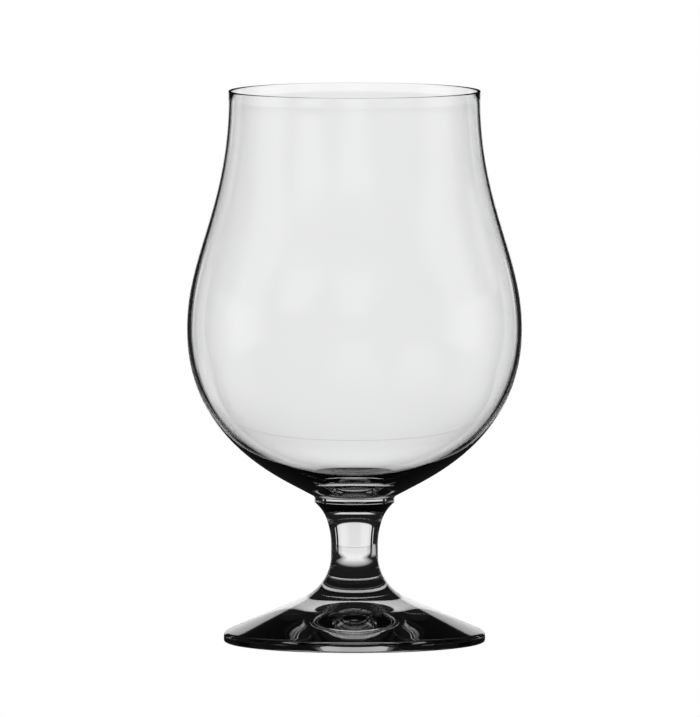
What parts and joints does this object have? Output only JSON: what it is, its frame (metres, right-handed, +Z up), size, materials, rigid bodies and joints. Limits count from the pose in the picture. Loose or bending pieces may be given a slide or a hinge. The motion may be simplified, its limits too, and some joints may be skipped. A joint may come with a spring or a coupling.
{
  "type": "stemmed beer glass",
  "caption": "Clear glass goblet for beer: a round tulip bowl that narrows to an upright lip, on a short solid stem with a collar and a conical foot.",
  "frame": {"origin": "centre of the resting ring of the foot, on the table", "axes": "+Z up along the axis that the glass is turned about; X and Y are alike"},
  "size_m": [0.0942, 0.0942, 0.155],
  "materials": {
    "clear_glass": "clear, fire-polished, colourless"
  },
  "bodies": {
    "root": {"beer_glass": "clear_glass"}
  },
  "joints": []
}
